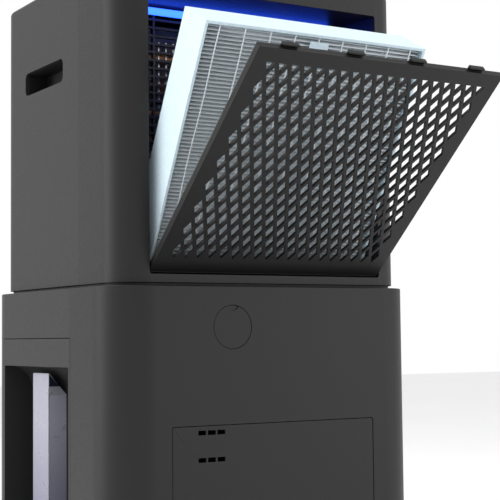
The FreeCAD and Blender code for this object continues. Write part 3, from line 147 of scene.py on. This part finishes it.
class Finish:
    """A material with its shader, built up from nodes in the object's own coordinates."""

    def __init__(self, name):
        self.material = bpy.data.materials.new(name)
        self.material.use_nodes = True
        self.tree = self.material.node_tree
        self.tree.nodes.clear()
        self.shader = self.tree.nodes.new("ShaderNodeBsdfPrincipled")
        self.output = self.tree.nodes.new("ShaderNodeOutputMaterial")
        self.link(self.shader.outputs["BSDF"], self.output.inputs["Surface"])
        self.place = self.tree.nodes.new("ShaderNodeTexCoord").outputs["Object"]

    def link(self, start, end):
        self.tree.links.new(start, end)

    def set(self, **values):
        for name, value in values.items():
            self.shader.inputs[name.replace("_", " ")].default_value = value
        return self

    def stretch(self, scale):
        mapping = self.tree.nodes.new("ShaderNodeMapping")
        mapping.inputs["Scale"].default_value = scale
        self.link(self.place, mapping.inputs["Vector"])
        return mapping.outputs["Vector"]

    def noise(self, scale, detail=3.0, rough=0.55, along=None):
        node = self.tree.nodes.new("ShaderNodeTexNoise")
        node.inputs["Scale"].default_value = scale
        node.inputs["Detail"].default_value = detail
        node.inputs["Roughness"].default_value = rough
        self.link(along or self.place, node.inputs["Vector"])
        return node.outputs["Fac"]

    def cells(self, scale):
        node = self.tree.nodes.new("ShaderNodeTexVoronoi")
        node.feature = "SMOOTH_F1"
        node.inputs["Scale"].default_value = scale
        self.link(self.place, node.inputs["Vector"])
        return node.outputs["Distance"]

    def spread(self, source, low, high, start=0.3, stop=0.7):
        """Map a texture from start..stop to low..high."""
        node = self.tree.nodes.new("ShaderNodeMapRange")
        for name, value in (("From Min", start), ("From Max", stop), ("To Min", low), ("To Max", high)):
            node.inputs[name].default_value = value
        self.link(source, node.inputs["Value"])
        return node.outputs["Result"]

    def tint(self, source, dark, light):
        """Base colour that wanders between two colours with a texture."""
        node = self.tree.nodes.new("ShaderNodeMix")
        node.data_type = "RGBA"
        node.inputs["A"].default_value = (*dark, 1)
        node.inputs["B"].default_value = (*light, 1)
        self.link(source, node.inputs["Factor"])
        self.link(node.outputs["Result"], self.shader.inputs["Base Color"])
        return self

    def roughness(self, source, low, high):
        self.link(self.spread(source, low, high), self.shader.inputs["Roughness"])
        return self

    def bump(self, source, distance, strength=1.0):
        node = self.tree.nodes.new("ShaderNodeBump")
        node.inputs["Strength"].default_value = strength
        node.inputs["Distance"].default_value = distance
        self.link(source, node.inputs["Height"])
        self.link(node.outputs["Normal"], self.shader.inputs["Normal"])
        return self


def shade(colour, factor):
    return tuple(min(1.0, part * factor) for part in colour)


def moulded(name, colour, low=0.42, high=0.52, grain=2600, depth=0.00006, specular=0.35):
    """Moulded plastic: spark-eroded grain, faint flow marks and handling marks in the gloss."""
    finish = Finish(name)
    flow = finish.spread(finish.noise(7, 3, 0.5), 0.0, 1.0)
    finish.tint(flow, shade(colour, 0.98), shade(colour, 1.02))
    finish.roughness(finish.noise(420, 4, 0.6), low, high)
    finish.bump(finish.cells(grain), depth, 0.35)
    finish.set(Specular_IOR_Level=specular)
    return finish.material


def frosted(name, colour):
    """Clear plastic with a light frost and a faint mould texture."""
    finish = Finish(name)
    cloud = finish.spread(finish.noise(14, 4), 0.0, 1.0)
    finish.tint(cloud, shade(colour, 0.9), colour)
    finish.roughness(finish.noise(60, 4), 0.22, 0.4)
    finish.bump(finish.noise(900, 2), 0.00004, 0.3)
    finish.set(Transmission_Weight=0.72, IOR=1.49, Specular_IOR_Level=0.5)
    return finish.material


def column_finish():
    """Frosted moulding of the sight column, clouded white and darker towards its foot."""
    finish = Finish("column_frosted")
    parts = finish.tree.nodes.new("ShaderNodeSeparateXYZ")
    finish.link(finish.place, parts.inputs["Vector"])
    finish.tint(finish.spread(parts.outputs["Z"], 0.0, 1.0, 0.07, 0.22), (0.12, 0.13, 0.24), (0.5, 0.5, 0.6))
    finish.roughness(finish.noise(60, 4), 0.25, 0.42)
    finish.bump(finish.noise(900, 2), 0.00004, 0.3)
    finish.set(Transmission_Weight=0.25, IOR=1.49)
    return finish.material


def metal(name, colour, low, high, stretch=(1, 1, 1), scale=500):
    """Drawn or rolled metal: fine lines along the working direction."""
    finish = Finish(name)
    lines = finish.noise(scale, 4, 0.6, finish.stretch(stretch))
    finish.tint(finish.spread(lines, 0.0, 1.0), shade(colour, 0.86), shade(colour, 1.08))
    finish.roughness(lines, low, high)
    finish.bump(lines, 0.00003, 0.4)
    finish.set(Metallic=1.0)
    return finish.material


def paper(name, colour, fibre=420):
    """Filter paper and board: matted fibres, slightly uneven in tone."""
    finish = Finish(name)
    mat = finish.noise(fibre, 6, 0.7, finish.stretch((1, 1, 2.4)))
    finish.tint(finish.spread(mat, 0.0, 1.0), shade(colour, 0.9), shade(colour, 1.04))
    finish.roughness(mat, 0.8, 0.95)
    finish.bump(mat, 0.00012, 0.5)
    finish.set(Sheen_Weight=0.15, Sheen_Roughness=0.6)
    return finish.material


def glow(name, colour, strength):
    """Lamp glass lit from inside, a little uneven along its length."""
    finish = Finish(name)
    along = finish.noise(30, 2)
    finish.tint(finish.spread(along, 0.0, 1.0), shade(colour, 0.8), colour)
    finish.roughness(along, 0.08, 0.16)
    finish.set(Emission_Color=(*colour, 1), Emission_Strength=strength)
    return finish.material


FINISHES = {}


def finish_for(slot_name):
    """The finish of a material slot, made the first time it is asked for."""
    if slot_name not in FINISHES:
        FINISHES[slot_name] = make_finish(slot_name)
    return FINISHES[slot_name]


def make_finish(slot_name):
    tone = colours()
    makers = {
        "shell": lambda: moulded("shell_satin", tone.shell),
        "rear_shell": lambda: moulded("rear_shell_satin", tone.rear_shell),
        "black_plastic": lambda: moulded("black_satin", (0.008, 0.008, 0.0085), 0.45, 0.6),
        "door_plastic": lambda: moulded("door_satin", tone.door, 0.4, 0.5, 3200),
        "bay_plastic": lambda: moulded("bay_satin", tone.bay, 0.35, 0.5),
        "inner_plastic": lambda: moulded("inner_grey", (0.2, 0.2, 0.21), 0.5, 0.6),
        "clear_plastic": lambda: frosted("tank_clear", (0.78, 0.8, 0.95)),
        "rubber": lambda: moulded("rubber_matt", (0.012, 0.012, 0.012), 0.75, 0.9, 1500, 0.0001, 0.3),
        "board": lambda: paper("filter_board", (0.7, 0.86, 0.95), 260),
        "pleat": lambda: paper("filter_paper", tone.paper),
        "glue": lambda: moulded("hot_glue", (0.8, 0.87, 0.92), 0.35, 0.5, 400, 0.0002),
        "steel": lambda: metal("zinc_steel", (0.5, 0.5, 0.52), 0.25, 0.45),
        "compressor_paint": lambda: moulded("black_enamel", (0.01, 0.01, 0.01), 0.2, 0.35, 700, 0.0001),
        "copper": lambda: metal("bare_copper", (0.75, 0.36, 0.2), 0.22, 0.4, (1, 1, 0.2)),
        "fins": lambda: metal("fin_sheet", (0.8, 0.82, 0.84), 0.3, 0.45, (4, 1, 1)),
        "lamp_glass": lambda: glow("lamp_blue", tone.lamp, 5.0),
        "lens": lambda: moulded("smoked_lens", (0.005, 0.005, 0.006), 0.08, 0.14, 900, 0.00002),
        "button_plastic": lambda: moulded("key_satin", (0.05, 0.05, 0.052), 0.4, 0.5),
    }
    return makers[slot_name]()


# Making pieces

def link_piece(name, mesh, body, slot_name, replaced=(), material=None):
    """Put a finished mesh in the scene, on its body, in its slot and in its finish."""
    piece = bpy.data.objects.new(name, mesh)
    bpy.context.scene.collection.objects.link(piece)
    mesh.materials.clear()
    mesh.materials.append(material or finish_for(slot_name))
    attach(piece, body)
    if replaced:
        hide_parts(*replaced)
    return piece


def shade_smooth(mesh):
    mesh.polygons.foreach_set("use_smooth", [True] * len(mesh.polygons))


def soften(piece, width):
    """Round the sharp edges and keep the flats flat in the shading."""
    bevel = piece.modifiers.new("rounding", "BEVEL")
    bevel.width = width
    bevel.segments = ROUNDING_SEGMENTS
    bevel.limit_method = "ANGLE"
    bevel.angle_limit = math.radians(SHARP_ANGLE)
    bevel.use_clamp_overlap = True
    normals = piece.modifiers.new("flat_normals", "WEIGHTED_NORMAL")
    normals.keep_sharp = True
    return piece


def rounded_from(node, width=None, material=None):
    """A copy of a node with joined faces and rounded edges, shown in the node's place."""
    mesh = frame["nodes"][node].data.copy()
    build = bmesh.new()
    build.from_mesh(mesh)
    bmesh.ops.remove_doubles(build, verts=build.verts, dist=JOIN_DISTANCE)
    bmesh.ops.dissolve_limit(build, angle_limit=math.radians(FLAT_ANGLE), verts=build.verts,
                             edges=build.edges, use_dissolve_boundaries=False)
    build.to_mesh(mesh)
    build.free()
    mesh.name = node + "_rounded"
    shade_smooth(mesh)
    piece = link_piece(node + "_rounded", mesh, BODY_OF[node], SLOT_OF[node], (node,), material)
    return soften(piece, width or sizes().edge_round)


def keep_nodes(*nodes):
    """Give carried-over nodes their finish."""
    for node in nodes:
        piece = frame["nodes"][node]
        piece.data.materials.clear()
        piece.data.materials.append(finish_for(SLOT_OF[node]))


def mesh_from(name, verts, faces, smooth=True):
    mesh = bpy.data.meshes.new(name)
    mesh.from_pydata(verts, [], faces)
    build = bmesh.new()
    build.from_mesh(mesh)
    bmesh.ops.recalc_face_normals(build, faces=build.faces)
    build.to_mesh(mesh)
    build.free()
    if smooth:
        shade_smooth(mesh)
    return mesh


def prism(name, outline, front, rear):
    """A thin plate standing in a plane across Y, from an outline of across and height."""
    count = len(outline)
    verts = [(x, y, z) for y in (front, rear) for x, z in outline]
    faces = [tuple(range(count)), tuple(range(count, 2 * count))]
    faces += [(side, (side + 1) % count, (side + 1) % count + count, side + count) for side in range(count)]
    return mesh_from(name, verts, faces, False)


def leaning(joint_name):
    """Matrix from a piece's upright local frame on its pin axis to its rest place."""
    joint = JOINTS[joint_name]
    angle = math.radians(joint["range_deg"][1])
    return Matrix.Translation(Vector(joint["pos_m"])) @ Matrix.Rotation(-angle, 4, "X")


def corners_of(points):
    low = Vector([min(point[axis] for point in points) for axis in range(3)])
    high = Vector([max(point[axis] for point in points) for axis in range(3)])
    return low, high


def upright_box(node, joint_name):
    """Lowest and highest corners of a leaning node in its upright local frame."""
    back = leaning(joint_name).inverted()
    return corners_of([back @ vertex.co for vertex in frame["nodes"][node].data.vertices])


# Operators, one for each piece or group of like pieces

class TOWER_OT_stage(bpy.types.Operator):
    """Floor, studio light and camera"""

    bl_idname = "tower.stage"
    bl_label = "Stage"

    def execute(self, context):
        half = sizes().floor_size / 2
        corners = [(-half, -half, 0), (half, -half, 0), (half, half, 0), (-half, half, 0)]
        mesh = mesh_from("studio_floor", corners, [(0, 1, 2, 3)], False)
        floor = bpy.data.objects.new("studio_floor", mesh)
        context.scene.collection.objects.link(floor)
        finish = Finish("pale_floor")
        finish.tint(finish.spread(finish.noise(2), 0.0, 1.0), (0.93, 0.93, 0.93), (0.95, 0.95, 0.95))
        finish.roughness(finish.noise(6), 0.7, 0.85)
        mesh.materials.append(finish.material)
        self.world(context)
        for light in LIGHTS:
            self.soft_light(context, *light)
        self.camera(context)
        return {"FINISHED"}

    def world(self, context):
        world = bpy.data.worlds.new("studio")
        world.use_nodes = True
        tree = world.node_tree
        ground = tree.nodes["Background"]
        ground.inputs["Color"].default_value = (1, 1, 1, 1)
        ground.inputs["Strength"].default_value = AMBIENT
        seen = tree.nodes.new("ShaderNodeBackground")
        seen.inputs["Color"].default_value = (1, 1, 1, 1)
        seen.inputs["Strength"].default_value = BACKDROP
        path = tree.nodes.new("ShaderNodeLightPath")
        mix = tree.nodes.new("ShaderNodeMixShader")
        tree.links.new(path.outputs["Is Camera Ray"], mix.inputs["Fac"])
        tree.links.new(ground.outputs["Background"], mix.inputs[1])
        tree.links.new(seen.outputs["Background"], mix.inputs[2])
        tree.links.new(mix.outputs["Shader"], tree.nodes["World Output"].inputs["Surface"])
        context.scene.world = world
        context.scene.view_settings.view_transform = "Standard"

    def soft_light(self, context, name, spot, size, power):
        light = bpy.data.lights.new(name, "AREA")
        light.shape = "RECTANGLE"
        light.size, light.size_y = size
        light.energy = power
        lamp = bpy.data.objects.new(name, light)
        lamp.location = spot
        lamp.rotation_euler = (Vector(LIGHT_TARGET) - Vector(spot)).to_track_quat("-Z", "Y").to_euler()
        context.scene.collection.objects.link(lamp)

    def camera(self, context):
        """Camera behind the tank side, a little below the split and looking slightly up."""
        data = bpy.data.cameras.new("camera")
        data.sensor_width = SENSOR_WIDTH
        data.lens = CAMERA_LENS
        camera = bpy.data.objects.new("camera", data)
        azimuth, pitch, roll = (math.radians(angle) for angle in CAMERA_TURN)
        level = math.cos(pitch)
        back = Vector((math.sin(azimuth) * level, -math.cos(azimuth) * level, math.sin(pitch)))
        right = Vector((math.cos(azimuth), math.sin(azimuth), 0))
        up = back.cross(right)
        across = right * math.cos(roll) + up * math.sin(roll)
        upward = up * math.cos(roll) - right * math.sin(roll)
        turn = Matrix((across, upward, back)).transposed()
        camera.matrix_world = Matrix.Translation(CAMERA_SPOT) @ turn.to_4x4()
        context.scene.collection.objects.link(camera)
        context.scene.camera = camera


class TOWER_OT_shells(bpy.types.Operator):
    """Front and rear shells of both tiers, and the neck between them"""

    bl_idname = "tower.shells"
    bl_label = "Shells"

    def execute(self, context):
        for node in ("lower_front_shell", "lower_rear_shell", "upper_front_shell", "upper_rear_shell"):
            rounded_from(node)
        for node in ("neck_plate", "upper_floor", "base_pan", "hand_cup_tank", "hand_cup_far"):
            rounded_from(node)
        return {"FINISHED"}


class TOWER_OT_rear_fittings(bpy.types.Operator):
    """Service panel, screws, drain port and cord gland"""

    bl_idname = "tower.rear_fittings"
    bl_label = "Rear fittings"

    def execute(self, context):
        fittings = ("service_panel", "service_screws", "drain_cup", "drain_spout", "drain_cover",
                    "cord_gland")
        for node in fittings:
            rounded_from(node, sizes().small_round)
        return {"FINISHED"}


class TOWER_OT_filter_door(bpy.types.Operator):
    """Perforated door, its frame, hooks and pins"""

    bl_idname = "tower.filter_door"
    bl_label = "Filter door"

    def execute(self, context):
        rounded_from("door_panel", sizes().small_round)
        rounded_from("door_frame", sizes().edge_round)
        rounded_from("door_hooks", sizes().small_round)
        keep_nodes("door_pins")
        return {"FINISHED"}


class TOWER_OT_filter_cartridge(bpy.types.Operator):
    """Board frame, rounded pleats, glue beads and pull tab"""

    bl_idname = "tower.filter_cartridge"
    bl_label = "Filter cartridge"

    def execute(self, context):
        rounded_from("filter_frame", sizes().edge_round)
        rounded_from("filter_tab", sizes().small_round)
        keep_nodes("filter_pins")
        self.pleats()
        self.beads()
        return {"FINISHED"}

    def pleats(self):
        """One sheet folded to and fro with rounded folds."""
        low, high = upright_box("filter_pleats", "filter_tilt")
        count = round((high.z - low.z) / sizes().pleat_pitch)
        reach = (high.y - low.y) / 2
        middle = (high.y + low.y) / 2
        verts = []
        place = leaning("filter_tilt")
        rows = count * FOLD_STEPS
        for row in range(rows + 1):
            turn = 2 * math.pi * row / FOLD_STEPS
            fold = math.asin(FOLD_SHARPNESS * -math.cos(turn)) / math.asin(FOLD_SHARPNESS)
            height = low.z + (high.z - low.z) * row / rows
            for across in (low.x, high.x):
                verts.append(place @ Vector((across, middle + fold * reach, height)))
        faces = [(2 * row, 2 * row + 1, 2 * row + 3, 2 * row + 2) for row in range(rows)]
        mesh = mesh_from("filter_pleats_folded", verts, faces)
        piece = link_piece("filter_pleats_folded", mesh, "filter", "pleat", ("filter_pleats",))
        sheet = piece.modifiers.new("paper_thickness", "SOLIDIFY")
        sheet.thickness = PAPER_THICKNESS
        sheet.offset = 0

    def beads(self):
        """Hot glue laid across the folds in upright lines, lumped where it meets each fold."""
        low, high = upright_box("filter_beads", "filter_tilt")
        place = leaning("filter_tilt")
        pitch = sizes().bead_pitch
        count = round((high.x - low.x) / pitch)
        fold = sizes().pleat_pitch
        verts, faces = [], []
        sides = BEAD_SIDES
        rows = round((high.z - low.z) / fold) * BEAD_ROWS_PER_FOLD
        for line in range(count + 1):
            centre = (low.x + high.x) / 2 + (line - count / 2) * pitch
            first = len(verts)
            for row in range(rows + 1):
                height = low.z + (high.z - low.z) * row / rows
                lump = abs(math.cos(math.pi * (height - low.z) / fold))
                radius = BEAD_RADIUS + BEAD_LUMP * lump
                drift = BEAD_DRIFT * math.sin(height * DRIFT_RATE + line * DRIFT_STEP)
                for side in range(sides):
                    angle = 2 * math.pi * side / sides
                    across = centre + drift + radius * BEAD_WIDE * math.cos(angle)
                    along = low.y + BEAD_LIFT + radius * BEAD_TALL * math.sin(angle)
                    verts.append(place @ Vector((across, along, height)))
            for row in range(rows):
                for side in range(sides):
                    near = first + row * sides + side
                    beside = first + row * sides + (side + 1) % sides
                    faces.append((near, beside, beside + sides, near + sides))
            faces.append(tuple(range(first, first + sides)))
            faces.append(tuple(range(len(verts) - sides, len(verts))))
        mesh = mesh_from("filter_glue_lines", verts, faces)
        link_piece("filter_glue_lines", mesh, "filter", "glue", ("filter_beads",))


class TOWER_OT_filter_bay(bpy.types.Operator):
    """Bay lining, inner grille, lamp and its holders"""

    bl_idname = "tower.filter_bay"
    bl_label = "Filter bay"

    def execute(self, context):
        rounded_from("filter_bay", sizes().edge_round)
        rounded_from("inner_grille", sizes().small_round)
        rounded_from("lamp_holders", sizes().edge_round)
        keep_nodes("uv_lamp")
        return {"FINISHED"}


class TOWER_OT_tank_drawer(bpy.types.Operator):
    """Drawer front, sight column, bucket, lid and float"""

    bl_idname = "tower.tank_drawer"
    bl_label = "Tank drawer"

    def execute(self, context):
        for node in ("tank_fascia", "tank_bucket", "tank_lid", "tank_float"):
            rounded_from(node)
        rounded_from("sight_column", material=column_finish())
        self.column_relief()
        return {"FINISHED"}


    def column_relief(self):
        """Ledge, a painted shade in the corner above the ledge, and thicker walls that show through the column's
        rear face.
        """
        low, high = corners_of([vertex.co for vertex in frame["nodes"]["sight_column"].data.vertices])
        width = high.x - low.x
        slope = width / SLOPE_DROP
        bottom = high.z - low.z - COLUMN_FOOT_CLEAR

        def spots(*places):
            return [(high.x - inward, high.z - down) for inward, down in places]

        ledge = spots((0, LEDGE_TOP), (LEDGE_TOP * slope, LEDGE_TOP), (LEDGE_FOOT * slope, LEDGE_FOOT),
                      (0, LEDGE_FOOT))
        # The corner piece is painted shade: a dark plate above the ledge, where the corner lies in shade.
        shade_corner = spots((CORNER_IN, CORNER_DOWN), (LEDGE_TOP * slope, LEDGE_TOP), (CORNER_IN, LEDGE_TOP))
        near = spots((0, LEDGE_FOOT), (WALL_THICKNESS, LEDGE_FOOT), (WALL_THICKNESS, bottom), (0, bottom))
        far = spots((width - WALL_THICKNESS, FAR_WALL_TOP), (width, FAR_WALL_TOP), (width, bottom),
                    (width - WALL_THICKNESS, bottom))
        pale = frosted("column_wall", (0.8, 0.82, 0.88))
        # Dark finish of the corner plate: painted shade, not the plastic's own colour.
        dark = moulded("column_painted_shade", (0.012, 0.014, 0.03), 0.2, 0.3)
        shapes = (("column_ledge", ledge, pale), ("column_corner_painted_shade", shade_corner, dark),
                  ("column_near_wall", near, pale), ("column_far_wall", far, pale))
        for name, outline, finish in shapes:
            mesh = prism(name, outline, high.y - RELIEF_SUNK, high.y + RELIEF_PROUD)
            link_piece(name, mesh, BODY_OF["sight_column"], SLOT_OF["sight_column"], material=finish)


class TOWER_OT_top_fittings(bpy.types.Operator):
    """Outlet flap and grille, control panel, display and buttons"""

    bl_idname = "tower.top_fittings"
    bl_label = "Top fittings"

    def execute(self, context):
        for node in ("outlet_louvre", "outlet_grille", "control_panel", "display_lens"):
            rounded_from(node, sizes().small_round)
        for name in ("power", "mode", "speed", "timer"):
            rounded_from("button_" + name, sizes().edge_round)
        keep_nodes("flap_bearings", "control_board")
        return {"FINISHED"}


class TOWER_OT_inner_works(bpy.types.Operator):
    """Heat exchangers, fan, compressor and the rest of the inside"""

    bl_idname = "tower.inner_works"
    bl_label = "Inner works"

    def execute(self, context):
        keep_nodes("evaporator_fins", "evaporator_tubes", "condenser_fins", "condenser_tubes", "drip_tray")
        keep_nodes("fan_scroll", "fan_motor", "fan_shaft", "fan_impeller", "compressor", "compressor_mounts")
        keep_nodes("refrigerant_pipes", "control_box", "tank_rails", "tank_bay_divider", "tank_bay_roof")
        keep_nodes("feet")
        return {"FINISHED"}


OPERATORS = (
    TOWER_OT_stage,
    TOWER_OT_shells,
    TOWER_OT_rear_fittings,
    TOWER_OT_filter_door,
    TOWER_OT_filter_cartridge,
    TOWER_OT_filter_bay,
    TOWER_OT_tank_drawer,
    TOWER_OT_top_fittings,
    TOWER_OT_inner_works,
)


class TOWER_PT_sidebar(bpy.types.Panel):
    """Sizes, colours and the pieces of the tower"""

    bl_label = "Air Tower"
    bl_space_type = "VIEW_3D"
    bl_region_type = "UI"
    bl_category = "Air Tower"

    def draw(self, context):
        for group in (context.scene.tower_sizes, context.scene.tower_colours):
            for name in group.__annotations__:
                self.layout.prop(group, name)
        for operator in OPERATORS:
            self.layout.operator(operator.bl_idname)


CLASSES = (TowerSizes, TowerColours) + OPERATORS + (TOWER_PT_sidebar,)


def register():
    for cls in CLASSES:
        bpy.utils.register_class(cls)
    bpy.types.Scene.tower_sizes = bpy.props.PointerProperty(type=TowerSizes)
    bpy.types.Scene.tower_colours = bpy.props.PointerProperty(type=TowerColours)


def unregister():
    del bpy.types.Scene.tower_colours
    del bpy.types.Scene.tower_sizes
    for cls in reversed(CLASSES):
        bpy.utils.unregister_class(cls)


def main():
    register()
    for operator in OPERATORS:
        group, name = operator.bl_idname.split(".")
        getattr(getattr(bpy.ops, group), name)()


if __name__ == "__main__":
    main()
